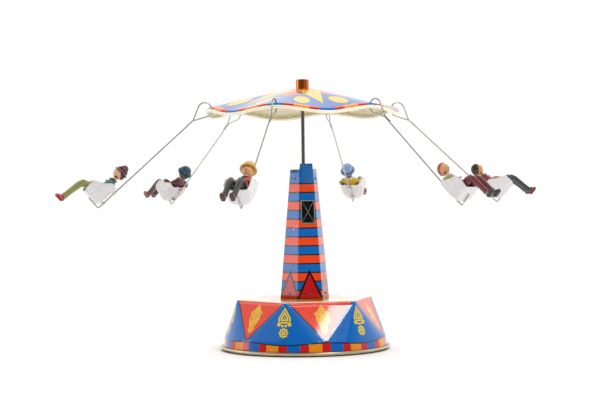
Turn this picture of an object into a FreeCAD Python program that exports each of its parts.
"""Wind-up tin swing carousel: a six-sided pressed-tin base and tower, a turning canopy, and six riders
whose chairs hang on wires from the canopy's rim and fly outwards.

Frame: millimetres, +Z up, origin at the centre of the base's underside, the tower's window facing -Y.
The six swings stand at every 60 degrees from +X, in the position that they take at full speed.
"""
import FreeCAD
import Part
import Sketcher
import math
import os

Vector = FreeCAD.Vector
SIDES = 6
STEP = 360.0 / SIDES
X_AXIS, Y_AXIS, Z_AXIS = Vector(1, 0, 0), Vector(0, 1, 0), Vector(0, 0, 1)

DIMENSIONS = {
    # base
    "tin_thickness": 0.6,
    "base_height": 51.0,
    "base_top_radius": 70.0,
    "base_foot_radius": 82.0,
    "band_radius": 80.6,
    "band_height": 14.0,
    "rim_radius": 85.0,
    "rim_height": 4.4,
    "plate_thickness": 0.8,
    # tower
    "tower_foot_radius": 25.0,
    "tower_top_radius": 12.9,
    "tower_height": 134.0,
    "tab_height": 6.0,
    "window_width": 14.6,
    "window_height": 23.6,
    "window_centre": 137.0,
    "frame_bar": 1.1,
    # shaft and bearings
    "shaft_radius": 1.75,
    "shaft_bottom": 2.1,
    "shaft_top": 264.0,
    "bush_radius": 4.2,
    "running_gap": 0.05,
    # canopy
    "canopy_radius": 98.0,
    "sheet_radius": 95.0,
    "canopy_top": 257.0,
    "canopy_fall": 15.5,
    "wave_depth": 5.5,
    "band_fall": 5.0,
    "canopy_sheet": 0.8,
    "knob_radius": 6.5,
    "knob_height": 12.0,
    # hangers
    "eye_hole_place": 92.8,
    "eye_hole_radius": 1.6,
    "eye_radius": 7.0,
    "eye_slope": 22.0,
    "wire_radius": 0.7,
    "fly_angle": 48.2,
    "wire_foot_depth": 142.9,
    "wire_bend": 1.2,
    # chairs and riders, measured from a swing's pivot as it hangs
    "chair_sheet": 0.8,
    "chair_width": 26.0,
    "chair_depth": 23.5,
    "seat_drop": 142.0,
    "chair_back": 25.0,
    "chair_gap": 0.2,
    "head_radius": 6.4,
    "head_drop": 105.2,
    "head_forward": 10.5,
    "leg_spacing": 4.5,
    # clockwork
    "arbor_height": 24.0,
    "arbor_radius": 2.0,
    "wheel_radius": 20.5,
    "crown_inner": 17.5,
    "crown_mean": 19.0,
    "wheel_teeth": 40.0,
    "pinion_teeth": 8.0,
    "tooth_gap": 1.85,
    "tooth_reach": 0.8,
    "tooth_clearance": 1.2,
    "ratchet_radius": 7.0,
    "ratchet_teeth": 12.0,
    "frame_plate": 1.0,
    "frame_front": 8.0,
    "frame_back": 22.0,
    "frame_half_width": 22.0,
    "frame_top": 47.0,
    "pillar_place": 13.6,
    "pillar_radius": 1.5,
    "spring_inner": 2.6,
    "spring_outer": 17.2,
    "spring_turns": 7.0,
    "spring_thickness": 0.4,
    "key_place": 96.0,
}


class Size:
    """A length together with the spreadsheet expression that gives it."""

    def __init__(self, value, text):
        self.value = value
        self.text = text

    def joined(self, other, sign, value):
        return Size(value, f"({self.text} {sign} {as_size(other).text})")

    def __add__(self, other):
        return self.joined(other, "+", self.value + as_size(other).value)

    def __sub__(self, other):
        return self.joined(other, "-", self.value - as_size(other).value)

    def __mul__(self, other):
        return self.joined(other, "*", self.value * as_size(other).value)

    def __truediv__(self, other):
        return self.joined(other, "/", self.value / as_size(other).value)

    def __neg__(self):
        return Size(-self.value, f"(0 - {self.text})")


def as_size(value):
    """A plain number as a Size, so that numbers and cells mix freely."""
    return value if isinstance(value, Size) else Size(float(value), f"{float(value):.9f}")


doc = FreeCAD.newDocument("SwingCarousel")
sheet = doc.addObject("Spreadsheet::Sheet", "Dims")
for row, (alias, number) in enumerate(DIMENSIONS.items(), start=1):
    sheet.set(f"A{row}", alias)
    sheet.set(f"B{row}", str(number))
    sheet.setAlias(f"B{row}", alias)
doc.recompute()
NODES = []


def cell(alias):
    """One driving dimension, by its name in the sheet."""
    return Size(DIMENSIONS[alias], f"Dims.{alias}")


def value(alias):
    """One driving dimension as a plain number, for shapes made in code."""
    return float(sheet.get(alias))


def keep(thing, label, placement=None):
    """Marks a finished object as a sub-part, with the name that its file takes."""
    thing.Label = label
    if placement is not None:
        thing.Placement = placement
    NODES.append(thing)
    return thing


def bind(thing, prop, size):
    """Gives a property its value and ties it to the sheet."""
    size = as_size(size)
    if hasattr(thing, prop):
        setattr(thing, prop, size.value)
    thing.setExpression(prop, size.text)


# ---- part primitives and booleans ----------------------------------------------------------------


def primitive(kind, name, at=(0, 0, 0), rotation=None, **sizes):
    """A Part primitive with its sizes and its place tied to the sheet."""
    thing = doc.addObject(f"Part::{kind}", name)
    for prop, size in sizes.items():
        bind(thing, prop, size)
    if rotation is not None:
        thing.Placement = FreeCAD.Placement(Vector(), rotation)
    for letter, size in zip("xyz", at):
        thing.setExpression(f"Placement.Base.{letter}", as_size(size).text)
    return thing


def turned(axis, angle):
    return FreeCAD.Rotation(axis, angle)


def fused(name, things):
    joined = doc.addObject("Part::MultiFuse", name)
    joined.Shapes = things
    return joined


def cut(name, base, tool):
    result = doc.addObject("Part::Cut", name)
    result.Base = base
    result.Tool = tool
    return result


def rod(name, start, end, radius):
    """A round bar between two points, each a tuple of three lengths."""
    ends = [Vector(*[as_size(v).value for v in point]) for point in (start, end)]
    run = ends[1] - ends[0]
    along = FreeCAD.Rotation(Z_AXIS, run)
    return primitive("Cylinder", name, start, along, Radius=radius, Height=run.Length)


# ---- PartDesign bodies ---------------------------------------------------------------------------


def new_body(name):
    return doc.addObject("PartDesign::Body", name)


def origin_feature(body, role):
    return next(item for item in body.Origin.OriginFeatures if item.Role == role)


def new_sketch(body, name, role="XY_Plane", lift=None):
    sketch = body.newObject("Sketcher::SketchObject", name)
    sketch.AttachmentSupport = [(origin_feature(body, role), "")]
    sketch.MapMode = "FlatFace"
    if lift is not None:
        sketch.setExpression("AttachmentOffset.Base.z", as_size(lift).text)
    return sketch


def tie(sketch, constraint, size):
    """Adds one dimension to a sketch and binds it to the sheet."""
    index = sketch.addConstraint(constraint)
    sketch.setExpression(f"Constraints[{index}]", as_size(size).text)


def outline(sketch, points):
    """A closed outline of straight lines, each corner placed from the sketch's origin."""
    corners = [(as_size(x), as_size(y)) for x, y in points]
    first = sketch.GeometryCount
    count = len(corners)
    for i in range(count):
        a, b = corners[i], corners[(i + 1) % count]
        line = Part.LineSegment(Vector(a[0].value, a[1].value, 0), Vector(b[0].value, b[1].value, 0))
        sketch.addGeometry(line, False)
    for i in range(count):
        after = first + (i + 1) % count
        sketch.addConstraint(Sketcher.Constraint("Coincident", first + i, 2, after, 1))
    for i, (x, y) in enumerate(corners):
        for kind, size in (("DistanceX", x), ("DistanceY", y)):
            if abs(size.value) < 1e-9:
                axis = -2 if kind == "DistanceX" else -1
                sketch.addConstraint(Sketcher.Constraint("PointOnObject", first + i, 1, axis))
            else:
                tie(sketch, Sketcher.Constraint(kind, -1, 1, first + i, 1, size.value), size)


def ring(sketch, radius, at=(0.0, 0.0)):
    """A circle centred at a given place in the sketch."""
    x, y, radius = as_size(at[0]), as_size(at[1]), as_size(radius)
    index = sketch.addGeometry(Part.Circle(Vector(x.value, y.value, 0), Z_AXIS, radius.value), False)
    tie(sketch, Sketcher.Constraint("Radius", index, radius.value), radius)
    if abs(x.value) + abs(y.value) < 1e-9:
        sketch.addConstraint(Sketcher.Constraint("Coincident", index, 3, -1, 1))
        return
    for kind, size in (("DistanceX", x), ("DistanceY", y)):
        if abs(size.value) < 1e-9:
            axis = -2 if kind == "DistanceX" else -1
            sketch.addConstraint(Sketcher.Constraint("PointOnObject", index, 3, axis))
        else:
            tie(sketch, Sketcher.Constraint(kind, -1, 1, index, 3, size.value), size)


def polygon_points(radius, sides=SIDES, start=0.0):
    """The corners of a regular polygon of the given circumradius."""
    angles = [math.radians(start + 360.0 / sides * i) for i in range(sides)]
    return [(radius * math.cos(a), radius * math.sin(a)) for a in angles]


def rectangle(half_width, half_height):
    """A rectangle's corners, centred on the sketch's origin."""
    x, y = half_width, half_height
    return [(-x, -y), (x, -y), (x, y), (-x, y)]


def pad(body, sketch, name, length, midplane=False, reversed_way=False):
    feature = body.newObject("PartDesign::Pad", name)
    feature.Profile = sketch
    bind(feature, "Length", length)
    feature.Midplane = midplane
    feature.Reversed = reversed_way
    return feature


def pocket(body, sketch, name, length, midplane=False, reversed_way=False):
    """A cut, checked to have taken material away."""
    doc.recompute()
    before = body.Shape.Volume
    feature = body.newObject("PartDesign::Pocket", name)
    feature.Profile = sketch
    bind(feature, "Length", length)
    feature.Midplane = midplane
    feature.Reversed = reversed_way
    doc.recompute()
    if not body.Shape.Volume < before - 1e-6:
        raise RuntimeError(f"{name} removes nothing")
    return feature


def polar(body, feature, name, count, role="Z_Axis"):
    """Repeats a feature round one of the body's own axes."""
    pattern = body.newObject("PartDesign::PolarPattern", name)
    pattern.Originals = [feature]
    pattern.Axis = (origin_feature(body, role), [""])
    pattern.Angle = 360.0
    pattern.Occurrences = int(count)
    body.Tip = pattern
    return pattern


def revolved(name, points, label=None, placement=None):
    """A body turned about +Z from an outline of radius and height."""
    body = new_body(name)
    sketch = new_sketch(body, f"{name}_profile", "XZ_Plane")
    outline(sketch, points)
    feature = body.newObject("PartDesign::Revolution", f"{name}_turn")
    feature.Profile = sketch
    feature.ReferenceAxis = (origin_feature(body, "Z_Axis"), [""])
    feature.Angle = 360.0
    return keep(body, label or name, placement)


# ---- base ----------------------------------------------------------------------------------------


def hull_solid(top_radius, top_height, band_radius, band_height, foot_radius, foot_height):
    """The base's outer form: a hexagon above, a circle below, and between them six flat triangles that
    hang point down from the hexagon's sides and six fans that spread from its corners. Under the fans a
    plain band runs down to the foot."""
    fan_steps = 12

    def circle_point(radius, height, angle):
        turn = math.radians(angle)
        return Vector(radius * math.cos(turn), radius * math.sin(turn), height)

    corners = [circle_point(top_radius, top_height, STEP * i) for i in range(SIDES)]
    faces = [Part.Face(Part.makePolygon(corners + corners[:1]))]
    foot = []
    for i in range(SIDES):
        middle = STEP * (i + 0.5)
        tip = circle_point(band_radius, band_height, middle)
        panel = [corners[i], corners[(i + 1) % SIDES], tip, corners[i]]
        faces.append(Part.Face(Part.makePolygon(panel)))
        for k in range(fan_steps):
            angles = [STEP * (i - 0.5) + STEP * (k + j) / fan_steps for j in (0, 1)]
            upper = [circle_point(band_radius, band_height, a) for a in angles]
            lower = [circle_point(foot_radius, foot_height, a) for a in angles]
            faces.append(Part.Face(Part.makePolygon([corners[i], upper[0], upper[1], corners[i]])))
            faces.append(Part.Face(Part.makePolygon([upper[0], lower[0], lower[1], upper[1], upper[0]])))
            foot.append(lower[0])
    faces.append(Part.Face(Part.makePolygon(foot + foot[:1])))
    shell = Part.Shell(faces)
    shell.sewShape()
    solid = Part.Solid(shell)
    if solid.Volume < 0:
        solid.reverse()
    return solid


def base_shell():
    tin = value("tin_thickness")
    foot_height = value("plate_thickness")
    outer = hull_solid(
        value("base_top_radius"), value("base_height"), value("band_radius"), value("band_height"),
        value("base_foot_radius"), foot_height,
    )
    inner = hull_solid(
        value("base_top_radius") - 1.1 * tin, value("base_height") - tin, value("band_radius") - tin,
        value("band_height"), value("base_foot_radius") - tin, foot_height,
    )
    roof = Vector(0, 0, value("base_height") - 2 * tin)
    shaft_hole = Part.makeCylinder(2.5 * value("shaft_radius"), 4 * tin, roof)
    key_hole = Part.makeCylinder(
        1.5 * value("arbor_radius"), value("base_foot_radius"), Vector(0, 20, value("arbor_height")), Y_AXIS
    )
    thing = doc.addObject("Part::Feature", "base_shell")
    thing.Shape = outer.cut(inner).cut(shaft_hole).cut(key_hole)
    return keep(thing, "base_shell", FreeCAD.Placement())


def base_plate():
    """The closing plate, its edge curled up round the foot of the shell."""
    rim, height, plate = cell("rim_radius"), cell("rim_height"), cell("plate_thickness")
    lip = cell("base_foot_radius") + 0.15
    points = [
        (0, 0), (rim - 1.2, 0), (rim - 0.3, 0.5), (rim, 1.3),
        (rim, height - 1.2), (rim - 0.4, height - 0.4),
        (rim - 1.2, height), (lip, height), (lip, plate), (0, plate),
    ]
    return revolved("base_plate", points)


# ---- tower ---------------------------------------------------------------------------------------


def tower_shell():
    """A tapering six-sided tube. The window's side and the one opposite end in tabs that stand above
    the rest, with the bearing plate between them."""
    body = new_body("tower_shell")
    foot, head, tin = cell("tower_foot_radius"), cell("tower_top_radius"), cell("tin_thickness")
    bottom, top = cell("base_height"), cell("base_height") + cell("tower_height")

    def section(name, radius, lift):
        sketch = new_sketch(body, name, lift=lift)
        outline(sketch, [(radius * x, radius * y) for x, y in polygon_points(1.0)])
        return sketch

    def loft(kind, name, sections):
        feature = body.newObject(f"PartDesign::{kind}", name)
        feature.Profile = sections[0]
        feature.Sections = [sections[1]]
        feature.Ruled = True
        return feature

    outside = [section("tower_foot_outline", foot, bottom), section("tower_top_outline", head, top)]
    loft("AdditiveLoft", "tower_outside", outside)
    doc.recompute()
    inside = [
        section("tower_foot_inside", foot - tin, bottom),
        section("tower_top_inside", head - tin, top),
    ]
    loft("SubtractiveLoft", "tower_inside", inside)
    notch = new_sketch(body, "tower_notch_outline", lift=top)
    reach = cell("tower_foot_radius")
    ends = [math.radians(STEP * corner) for corner in (-1, 0, 1)]
    outline(notch, [(0, 0)] + [(reach * math.cos(a), reach * math.sin(a)) for a in ends])
    first = pocket(body, notch, "tower_notch", cell("tab_height"))
    polar(body, first, "tower_notches", 2)
    return keep(body, "tower_shell", FreeCAD.Placement())


def tower_tilt():
    """How far a tower face leans in from the vertical, in degrees."""
    apothem = math.cos(math.radians(STEP / 2))
    lean = (value("tower_foot_radius") - value("tower_top_radius")) * apothem
    return math.degrees(math.atan2(lean, value("tower_height")))


def tower_face_point(height):
    """The distance from the axis to the middle of a tower face at a height above the floor."""
    share = (height - value("base_height")) / value("tower_height")
    radius = value("tower_foot_radius") + share * (value("tower_top_radius") - value("tower_foot_radius"))
    return radius * math.cos(math.radians(STEP / 2))


def on_tower_face(height, side_angle, stand_off=0.0):
    """A placement on a tower face: local X runs across the face, local Y up it and local Z out of it."""
    tilt = tower_tilt()
    upright = FreeCAD.Rotation(X_AXIS, 90.0 - tilt)
    turn = FreeCAD.Rotation(Z_AXIS, side_angle + 90.0)
    distance = tower_face_point(height) + stand_off
    place = turn.multVec(Vector(0, -distance, height))
    return FreeCAD.Placement(place, turn.multiply(upright))


def window_panel():
    body = new_body("window_panel")
    sketch = new_sketch(body, "window_panel_outline")
    half_width, half_height = cell("window_width") / 2 - 0.4, cell("window_height") / 2 - 0.4
    outline(sketch, rectangle(half_width, half_height))
    pad(body, sketch, "window_panel_pad", 0.3)
    return keep(body, "window_panel", on_tower_face(value("window_centre"), -90.0, 0.03))


def window_frame():
    """The raised frame, with two thin bars crossing behind it."""
    body = new_body("window_frame")
    bar = cell("frame_bar")
    half_width, half_height = cell("window_width") / 2, cell("window_height") / 2
    sketch = new_sketch(body, "window_frame_outline")
    for inset in (as_size(0), bar):
        outline(sketch, rectangle(half_width - inset, half_height - inset))
    pad(body, sketch, "window_frame_pad", 0.8)
    cross = new_sketch(body, "window_cross_outline")
    x, y, w = half_width - bar * 0.7, half_height - bar * 0.7, 0.3
    outline(cross, [(-x, -y), (-x + w, -y), (as_size(w), 0), (x, y), (x - w, y), (as_size(-w), 0)])
    pad(body, cross, "window_bar_pad", 0.6)
    doc.recompute()
    other = new_sketch(body, "window_other_bar_outline")
    outline(other, [(x, -y), (x - w, -y), (as_size(-w), 0), (-x, y), (-x + w, y), (as_size(w), 0)])
    pad(body, other, "window_other_bar_pad", 0.6)
    return keep(body, "window_frame", on_tower_face(value("window_centre"), -90.0, 0.35))


def tower_rivets():
    """Twelve round-headed rivets, one near the foot and one near the top of each face."""
    head, shank, reach = 1.2, 0.6, 1.6
    rivets = []
    for height in (value("base_height") + 5.0, value("base_height") + value("tower_height") - 15.0):
        for i in range(SIDES):
            dome = Part.makeSphere(head, Vector(), Z_AXIS, 0, 90, 360)
            stem = Part.makeCylinder(shank, reach, Vector(0, 0, -reach))
            rivet = dome.fuse(stem)
            rivet.Placement = on_tower_face(height, STEP * (i + 0.5), 0.01)
            rivets.append(rivet)
    thing = doc.addObject("Part::Feature", "tower_rivets")
    thing.Shape = Part.Compound(rivets)
    return keep(thing, "tower_rivets", FreeCAD.Placement())


def foot_ring():
    """The angle ring inside the tower's foot that the lower rivets hold."""
    body = new_body("tower_foot_ring")
    tin = cell("tin_thickness")
    outer = cell("tower_foot_radius") - tin * 2 - 1.0
    sketch = new_sketch(body, "foot_ring_outline", lift=cell("base_height"))
    for radius in (outer, outer - 0.9):
        outline(sketch, [(radius * x, radius * y) for x, y in polygon_points(1.0)])
    pad(body, sketch, "foot_ring_pad", 8.0)
    return keep(body, "tower_foot_ring")


def top_bearing():
    """The plate that rests on the tower's four lower sides, between the two tabs, with the bush that
    the shaft turns in."""
    shoulder = cell("base_height") + cell("tower_height") - cell("tab_height")
    width, bore = cell("tower_top_radius") + 0.3, cell("shaft_radius") + cell("running_gap")
    between_tabs = 10.9
    full = primitive("Prism", "bearing_hexagon", (0, 0, shoulder), Circumradius=width, Height=0.9)
    strip = primitive(
        "Box", "bearing_strip", (-20, -between_tabs, shoulder),
        Length=40.0, Width=2 * between_tabs, Height=0.9,
    )
    plate = doc.addObject("Part::MultiCommon", "bearing_plate")
    plate.Shapes = [full, strip]
    doc.recompute()
    bush = primitive("Cylinder", "bearing_bush", (0, 0, shoulder - 5), Radius=cell("bush_radius"), Height=8.0)
    hole = primitive("Cylinder", "bearing_hole", (0, 0, shoulder - 10), Radius=bore, Height=20.0)
    return keep(cut("top_bearing", fused("bearing_solid", [plate, bush]), hole), "top_bearing")


# ---- rotor ---------------------------------------------------------------------------------------


def sheet_height(radius, turn):
    """The height of the canopy's top surface: flat at the hub, six ridges running out to the hooks, and
    a wave that deepens towards the rim and hangs lowest half way between two ridges."""
    hub_flat = 8.0
    out = max(0.0, (radius - hub_flat) / (value("sheet_radius") - hub_flat))
    wave = value("wave_depth") * (radius / value("sheet_radius")) ** 2 * (1 - math.cos(SIDES * turn)) / 2
    edge = max(0.0, (radius - value("sheet_radius")) / (value("canopy_radius") - value("sheet_radius")))
    return value("canopy_top") - value("canopy_fall") * out**1.15 - wave - value("band_fall") * edge**1.5


def canopy():
    """The pressed canopy, made of six like patches from ridge to ridge, with a turned-down rim."""
    inner = value("shaft_radius") + 0.2
    radii = [inner, 8.0, 22.0, 38.0, 54.0, 70.0, 84.0, 92.0, 95.0, 96.0, 97.0, value("canopy_radius")]
    steps = 8

    def patch(drop):
        grid = []
        for radius in radii:
            row = []
            for k in range(steps + 1):
                turn = math.radians(STEP * k / steps)
                height = sheet_height(radius, turn) - drop
                row.append(Vector(radius * math.cos(turn), radius * math.sin(turn), height))
            grid.append(row)
        surface = Part.BSplineSurface()
        surface.interpolate(grid)
        return surface

    def boundary(surface, at_rim):
        u = surface.bounds()[1 if at_rim else 0]
        return surface.uIso(u).toShape()

    upper, lower = patch(0.0), patch(value("canopy_sheet"))
    faces = [upper.toShape(), lower.toShape()]
    for at_rim in (False, True):
        faces.append(Part.makeRuledSurface(boundary(upper, at_rim), boundary(lower, at_rim)))
    everything = []
    for i in range(SIDES):
        for face in faces:
            copy = face.copy()
            copy.rotate(Vector(), Z_AXIS, STEP * i)
            everything.append(copy)
    shell = Part.Shell(everything)
    shell.sewShape()
    solid = Part.Solid(shell)
    if solid.Volume < 0:
        solid.reverse()
    slope = math.radians(value("eye_slope"))
    place = value("eye_hole_place")
    upwards = Vector(math.sin(slope), 0, math.cos(slope))
    below = Vector(place, 0, sheet_height(place, 0.0)) - upwards * 3.0
    for i in range(SIDES):
        drill = Part.makeCylinder(value("eye_hole_radius"), 6.0, below, upwards)
        drill.rotate(Vector(), Z_AXIS, STEP * i)
        solid = solid.cut(drill)
    thing = doc.addObject("Part::Feature", "canopy")
    thing.Shape = solid
    return keep(thing, "canopy", FreeCAD.Placement())


def main_shaft():
    radius, bottom, top = cell("shaft_radius"), cell("shaft_bottom"), cell("shaft_top")
    points = [
        (0, bottom), (radius - 0.3, bottom), (radius, bottom + 0.3),
        (radius, top - 0.3), (radius - 0.3, top), (0, top),
    ]
    return revolved("main_shaft", points)


def top_knob():
    """The turned knob that clamps the canopy on the shaft."""
    bore = cell("shaft_radius") + 0.02
    radius, low = cell("knob_radius"), cell("canopy_top") + 0.1
    top = low + cell("knob_height")
    blind = cell("shaft_top") + 0.5
    points = [
        (bore, low), (radius - 1.2, low), (radius - 1.2, low + 1.2),
        (radius, low + 2.0), (radius, top - 0.7),
        (radius - 0.7, top), (0, top), (0, blind), (bore, blind),
    ]
    return revolved("top_knob", points)


def canopy_hub():
    """The boss under the canopy, pressed on the shaft."""
    bore = cell("shaft_radius") + 0.02
    top = cell("canopy_top") - cell("canopy_sheet") - 0.15
    points = [
        (bore, top), (7.5, top), (7.5, top - 1.5),
        (4.0, top - 3.0), (4.0, top - 9.0), (bore, top - 9.0),
    ]
    return revolved("canopy_hub", points)


def thrust_collar():
    """The collar that runs on top of the bush."""
    bore = cell("shaft_radius") + 0.02
    low = cell("base_height") + cell("tower_height") - cell("tab_height") + 3.1
    points = [(bore, low), (3.2, low), (3.2, low + 2.4), (2.8, low + 2.8), (bore, low + 2.8)]
    return revolved("thrust_collar", points)


def pitch_radius():
    """The pinion's pitch radius, which is also the distance from the shaft to the crown's pitch plane."""
    return cell("crown_mean") * cell("pinion_teeth") / cell("wheel_teeth")


def shaft_pinion():
    """The pinion on the shaft, at the height of the crown wheel's topmost teeth."""
    body = new_body("shaft_pinion")
    low = cell("arbor_height") + cell("crown_inner") - 0.4
    tip = pitch_radius() + 0.7
    blank = new_sketch(body, "pinion_outline", lift=low)
    ring(blank, tip)
    ring(blank, cell("shaft_radius") + 0.02)
    pad(body, blank, "pinion_pad", 3.6)
    gap = new_sketch(body, "pinion_gap_outline", lift=low)
    root, outer = pitch_radius() - 1.1, pitch_radius() + 1.5
    outline(gap, [(root, -0.75), (outer, -1.65), (outer, 1.65), (root, 0.75)])
    first = pocket(body, gap, "pinion_gap", 3.6, reversed_way=True)
    polar(body, first, "pinion_gaps", value("pinion_teeth"))
    # a gap faces +Y, where the crown wheel's top tooth stands
    return keep(body, "shaft_pinion", FreeCAD.Placement(Vector(), FreeCAD.Rotation(Z_AXIS, 90.0)))


# ---- clockwork -----------------------------------------------------------------------------------


def along_arbor(place):
    """A placement with local Z along +Y on the arbor's axis, starting at the given distance."""
    return FreeCAD.Placement(Vector(0, place, value("arbor_height")), FreeCAD.Rotation(X_AXIS, -90.0))


def great_wheel():
    """The crown wheel: a disc with a ring of teeth that stand towards the vertical shaft."""
    body = new_body("great_wheel")
    crown = cell("tooth_reach") + cell("tooth_clearance")
    disc = new_sketch(body, "wheel_disc", lift=crown)
    ring(disc, cell("wheel_radius"))
    ring(disc, cell("arbor_radius") + cell("running_gap"))
    pad(body, disc, "wheel_disc_pad", 1.0)
    teeth = new_sketch(body, "wheel_ring")
    ring(teeth, cell("wheel_radius"))
    ring(teeth, cell("crown_inner"))
    pad(body, teeth, "wheel_ring_pad", crown)
    slot = new_sketch(body, "wheel_slot")
    half = cell("tooth_gap") / 2
    inner, outer = cell("crown_inner") - 1.0, cell("wheel_radius") + 1.0
    outline(slot, [(inner, -half), (outer, -half), (outer, half), (inner, half)])
    first = pocket(body, slot, "wheel_gap", crown, reversed_way=True)
    polar(body, first, "wheel_gaps", value("wheel_teeth"))
    # half a tooth of turn puts a tooth, not a gap, at the top of the wheel
    start = pitch_radius().value - value("tooth_reach")
    placement = along_arbor(start)
    half_tooth = FreeCAD.Placement(Vector(), FreeCAD.Rotation(Z_AXIS, 180.0 / value("wheel_teeth")))
    return keep(body, "great_wheel", placement.multiply(half_tooth))


def wheel_back():
    """Where the great wheel's back face lies along Y."""
    return pitch_radius().value + value("tooth_clearance") + 1.0


def ratchet_wheel():
    body = new_body("ratchet_wheel")
    sketch = new_sketch(body, "ratchet_outline")
    teeth = int(value("ratchet_teeth"))
    tip = cell("ratchet_radius")
    root = tip - 1.2
    points = []
    for i in range(teeth):
        steep, shallow = math.radians(360.0 / teeth * i), math.radians(360.0 / teeth * (i + 0.08))
        points.append((root * math.cos(steep), root * math.sin(steep)))
        points.append((tip * math.cos(shallow), tip * math.sin(shallow)))
    outline(sketch, points)
    ring(sketch, cell("arbor_radius") + 0.01)
    pad(body, sketch, "ratchet_pad", 1.4)
    return keep(body, "ratchet_wheel", along_arbor(wheel_back() + 0.2))


def click():
    """The sprung pawl on the great wheel's back, its nose just outside the ratchet's tips."""
    body = new_body("click")
    sketch = new_sketch(body, "click_outline")
    tip = cell("ratchet_radius") + 0.25
    outline(sketch, [
        (tip, -1.2), (tip + 1.0, -1.6), (13.2, -8.6), (15.2, -7.2),
        (14.0, -5.4), (tip + 1.8, 0.6), (tip, 0.4),
    ])
    pad(body, sketch, "click_pad", 1.2)
    return keep(body, "click", along_arbor(wheel_back() + 0.1))


def key_arbor():
    """The spring's arbor, from the great wheel out through the back of the base to the key."""
    radius = cell("arbor_radius")
    start, end = pitch_radius() + 0.4, cell("key_place")
    points = [(0, start), (radius - 0.3, start), (radius, start + 0.3), (radius, end), (0, end)]
    placement = FreeCAD.Placement(Vector(0, 0, value("arbor_height")), FreeCAD.Rotation(X_AXIS, -90.0))
    return revolved("key_arbor", points, placement=placement)


def winding_key():
    """A flat key with two round wings and a tubular shank that slips over the arbor."""
    body = new_body("winding_key")
    wings = new_sketch(body, "key_wings", "XZ_Plane")
    root = cell("key_place") + 0.5
    # the wings' outline, drawn across the arbor (x) and along it (y)
    outline(wings, [
        (-3.0, root), (-8.0, root + 1.0), (-12.5, root + 5.0), (-12.5, root + 10.0), (-8.5, root + 13.5),
        (-4.0, root + 12.0), (0, root + 9.5), (4.0, root + 12.0), (8.5, root + 13.5), (12.5, root + 10.0),
        (12.5, root + 5.0), (8.0, root + 1.0), (3.0, root),
    ])
    for side in (-1, 1):
        ring(wings, 1.6, (7.6 * side, root + 7.2))
    pad(body, wings, "key_wing_pad", 1.4, midplane=True)
    doc.recompute()
    shank = new_sketch(body, "key_shank", lift=cell("key_place") - 14.0)
    ring(shank, cell("arbor_radius") + 1.3)
    pad(body, shank, "key_shank_pad", 15.0)
    bore = new_sketch(body, "key_bore", lift=cell("key_place") - 14.0)
    ring(bore, cell("arbor_radius") + 0.02)
    pocket(body, bore, "key_bore_cut", 14.05, reversed_way=True)
    placement = FreeCAD.Placement(Vector(0, 0, value("arbor_height")), FreeCAD.Rotation(X_AXIS, -90.0))
    return keep(body, "winding_key", placement)


def motor_plate(name, place):
    """One upright plate of the clockwork's frame, standing on the base plate."""
    body = new_body(name)
    half, top, low = cell("frame_half_width"), cell("frame_top"), cell("plate_thickness")
    sketch = new_sketch(body, f"{name}_outline")
    corner = 6.0
    outline(sketch, [
        (-half, low), (half, low), (half, top - corner), (half - corner, top),
        (-half + corner, top), (-half, top - corner),
    ])
    ring(sketch, cell("arbor_radius") + cell("running_gap"), (0, cell("arbor_height")))
    pad(body, sketch, f"{name}_pad", cell("frame_plate"))
    upright = FreeCAD.Rotation(X_AXIS, 90.0)
    return keep(body, name, FreeCAD.Placement(Vector(0, place + value("frame_plate"), 0), upright))


def motor_pillars():
    """Four pillars between the plates. The spring's outer end is hooked to one of them."""
    start = value("frame_front") + value("frame_plate")
    length = value("frame_back") - start
    pillars = []
    for x in (-1, 1):
        for z in (-1, 1):
            foot = Vector(x * value("pillar_place"), start, value("arbor_height") + z * value("pillar_place"))
            pillars.append(Part.makeCylinder(value("pillar_radius"), length, foot, Y_AXIS))
    thing = doc.addObject("Part::Feature", "motor_pillars")
    thing.Shape = Part.Compound(pillars)
    return keep(thing, "motor_pillars", FreeCAD.Placement())


def mainspring():
    """The flat spiral spring, half wound, between the frame's plates."""
    inner, outer, turns = value("spring_inner"), value("spring_outer"), value("spring_turns")
    thickness = value("spring_thickness")
    start, end = 45.0 - 360.0 * turns, 45.0
    points_per_turn = 16
    count = int(points_per_turn * turns)

    def curve(offset):
        points = []
        for k in range(count + 1):
            share = k / count
            radius = inner + (outer - inner) * share + offset
            angle = math.radians(start + (end - start) * share)
            points.append(Vector(radius * math.cos(angle), 0, radius * math.sin(angle)))
        spline = Part.BSplineCurve()
        spline.interpolate(points)
        return spline.toShape(), points

    (inside, inside_points), (outside, outside_points) = curve(0.0), curve(thickness)
    caps = [Part.makeLine(inside_points[i], outside_points[i]) for i in (0, -1)]
    face = Part.Face(Part.Wire(Part.__sortEdges__([inside, caps[1], outside, caps[0]])))
    gap = 1.2
    start_y = value("frame_front") + value("frame_plate") + gap
    width = value("frame_back") - start_y - gap
    ribbon = face.extrude(Vector(0, width, 0))
    thing = doc.addObject("Part::Feature", "mainspring")
    thing.Shape = ribbon
    place = Vector(0, start_y, value("arbor_height"))
    return keep(thing, "mainspring", FreeCAD.Placement(place, FreeCAD.Rotation()))


def step_bearing():
    """The cup that the foot of the shaft stands in."""
    bore = cell("shaft_radius") + cell("running_gap")
    plate, floor = cell("plate_thickness"), cell("shaft_bottom") - 0.05
    points = [
        (0, plate), (5.0, plate), (5.0, plate + 1.2), (2.8, plate + 2.0), (2.8, plate + 5.5),
        (bore, plate + 5.5), (bore, floor), (0, floor),
    ]
    return revolved("step_bearing", points)


# ---- swings --------------------------------------------------------------------------------------


def eye_centre():
    """The swings' pivot as distance from the axis and height: the middle of the wire's eye."""
    slope = math.radians(value("eye_slope"))
    hole = value("eye_hole_place")
    middle = sheet_height(hole, 0.0) - value("canopy_sheet") / 2
    return hole + value("eye_radius") * math.cos(slope), middle - value("eye_radius") * math.sin(slope)


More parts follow.
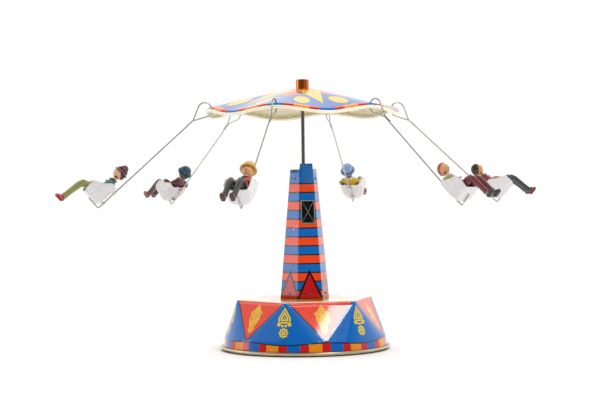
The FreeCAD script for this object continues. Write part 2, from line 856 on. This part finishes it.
def swing_placement(i):
    """From a swing's own frame, where it hangs straight down from its pivot and faces +X, to its place."""
    distance, height = eye_centre()
    turn = FreeCAD.Rotation(Z_AXIS, STEP * i)
    place = turn.multVec(Vector(distance, 0, height))
    return FreeCAD.Placement(place, turn.multiply(FreeCAD.Rotation(Y_AXIS, -value("fly_angle"))))


def hanger_wire(i):
    """A closed eye through the canopy's hole, a straight shank, and a foot bent under the chair."""
    wire, eye, bend = cell("wire_radius"), cell("eye_radius"), cell("wire_bend")
    foot = cell("wire_foot_depth")
    turn_up = cell("wire_foot_depth") - bend
    quarter = turned(X_AXIS, 90.0).multiply(turned(Z_AXIS, 180.0))
    tag = f"wire{i + 1}"
    parts = [
        primitive("Torus", f"{tag}_eye", (0, 0, 0), turned(X_AXIS, 90.0), Radius1=eye, Radius2=wire),
        primitive("Cylinder", f"{tag}_shank", (0, 0, -turn_up), Radius=wire, Height=turn_up - eye),
        primitive("Torus", f"{tag}_bend", (bend, 0, -turn_up), quarter, Radius1=bend, Radius2=wire),
        primitive(
            "Cylinder", f"{tag}_foot", (bend, 0, -foot), turned(Y_AXIS, 90.0), Radius=wire, Height=12.0
        ),
    ]
    parts[2].Angle3 = 90.0
    return keep(fused(f"hanger_wire_{i + 1}", parts), f"hanger_wire_{i + 1}", swing_placement(i))


def chair(i):
    """A tin chair with side panels, crimped to the wire by two straps behind its back."""
    name = f"chair_{i + 1}"
    body = new_body(name)
    tin, width, depth = cell("chair_sheet"), cell("chair_width"), cell("chair_depth")
    back = cell("wire_radius") + cell("chair_gap")
    low = -cell("seat_drop")
    high = low + cell("chair_back")
    side = new_sketch(body, f"{name}_side", "XZ_Plane")
    front = back + depth
    outline(side, [
        (back, low), (front - 1.0, low), (front, low + 1.0), (front, low + 7.5), (front - 2.5, low + 10.0),
        (back + 11.0, low + 12.5), (back + 6.0, high - 2.5), (back + 3.0, high), (back, high),
    ])
    pad(body, side, f"{name}_solid", width, midplane=True)
    room = new_sketch(body, f"{name}_room", "XZ_Plane")
    inside, floor, beyond, above = back + tin, low + tin, front + 5.0, high + 5.0
    outline(room, [(inside, floor), (beyond, floor), (beyond, above), (inside, above)])
    pocket(body, room, f"{name}_hollow", width - tin * 2, midplane=True)
    straps = new_sketch(body, f"{name}_straps", "XZ_Plane")
    for height in (4.0, 19.0):
        z = low + height
        outline(straps, [(-1.5, z), (back + 0.2, z), (back + 0.2, z + 3.0), (-1.5, z + 3.0)])
    pad(body, straps, f"{name}_strap_pad", 4.4, midplane=True)
    bore = new_sketch(body, f"{name}_bore", lift=low + 2.0)
    ring(bore, cell("wire_radius") + 0.03)
    pocket(body, bore, f"{name}_bore_cut", 22.0, reversed_way=True)
    return keep(body, name, swing_placement(i))


def rider(i):
    """A seated figure: body, bent legs, and hands resting on the chair's sides."""
    tag = f"rider{i + 1}"
    spread = cell("leg_spacing")
    parts = [
        primitive("Ellipsoid", f"{tag}_torso", (9.2, 0, -125.5), Radius1=13.5, Radius2=6.0, Radius3=8.6),
        primitive("Ellipsoid", f"{tag}_hips", (10.5, 0, -135.9), Radius1=5.0, Radius2=8.2, Radius3=9.4),
        rod(f"{tag}_neck", (10.0, 0, -114.0), (10.5, 0, -112.0), 2.3),
    ]
    for side, mark in ((-1, "right"), (1, "left")):
        y = spread * side
        parts += [
            rod(f"{tag}_{mark}_thigh", (11.0, y, -136.3), (27.2, y, -135.6), 3.3),
            primitive("Sphere", f"{tag}_{mark}_knee", (27.2, y, -135.6), Radius=3.3),
            rod(f"{tag}_{mark}_shin", (27.8, y, -136.5), (31.0, y, -161.5), 2.5),
            primitive(
                "Ellipsoid", f"{tag}_{mark}_foot", (33.6, y, -162.6), Radius1=2.6, Radius2=5.6, Radius3=2.8
            ),
            rod(f"{tag}_{mark}_arm", (9.6, 7.6 * side, -117.5), (12.0, 9.4 * side, -127.5), 2.1),
            primitive("Sphere", f"{tag}_{mark}_elbow", (12.0, 9.4 * side, -127.5), Radius=2.1),
            rod(f"{tag}_{mark}_forearm", (12.0, 9.4 * side, -127.5), (20.0, 8.6 * side, -129.0), 1.7),
            primitive("Sphere", f"{tag}_{mark}_hand", (20.8, 8.5 * side, -129.1), Radius=2.1),
        ]
    return keep(fused(f"rider_{i + 1}", parts), f"rider_{i + 1}", swing_placement(i))


def rider_head(i):
    """The figure's head with its hat, fixed on the neck."""
    tag = f"head{i + 1}"
    forward, drop, radius = cell("head_forward"), cell("head_drop"), cell("head_radius")
    brim, crown = (forward, 0, -drop + 2.2), (forward, 0, -drop + 3.0)
    parts = [
        primitive("Sphere", f"{tag}_ball", (forward, 0, -drop), Radius=radius),
        primitive("Cylinder", f"{tag}_brim", brim, Radius=radius + 1.6, Height=1.0),
        primitive("Cone", f"{tag}_crown", crown, Radius1=radius, Radius2=radius - 2.2, Height=7.8),
    ]
    return keep(fused(f"rider_head_{i + 1}", parts), f"rider_head_{i + 1}", swing_placement(i))


# ---- the whole toy -------------------------------------------------------------------------------

for make in (
    base_shell, base_plate, tower_shell, foot_ring, window_panel, window_frame, tower_rivets, top_bearing,
    step_bearing, mainspring, motor_pillars, canopy, main_shaft, top_knob, canopy_hub, thrust_collar,
    shaft_pinion, great_wheel, ratchet_wheel, click, key_arbor, winding_key,
):
    make()
motor_plate("motor_front_plate", value("frame_front"))
motor_plate("motor_back_plate", value("frame_back"))
for number in range(SIDES):
    for make in (hanger_wire, chair, rider, rider_head):
        make(number)

doc.recompute()
faults = [item.Name for item in doc.Objects if "Invalid" in item.State or "Error" in item.State]
if faults:
    raise RuntimeError(f"failed features: {faults}")
os.makedirs("parts", exist_ok=True)
for node in NODES:
    shape = node.Shape
    if shape.isNull() or not shape.isValid():
        raise RuntimeError(f"{node.Label} has no valid shape")
    shape.exportStep(f"parts/{node.Label}.step")
distance, height = eye_centre()
print(f"{len(NODES)} nodes; swing pivots {distance:.3f} from the axis at height {height:.3f}")
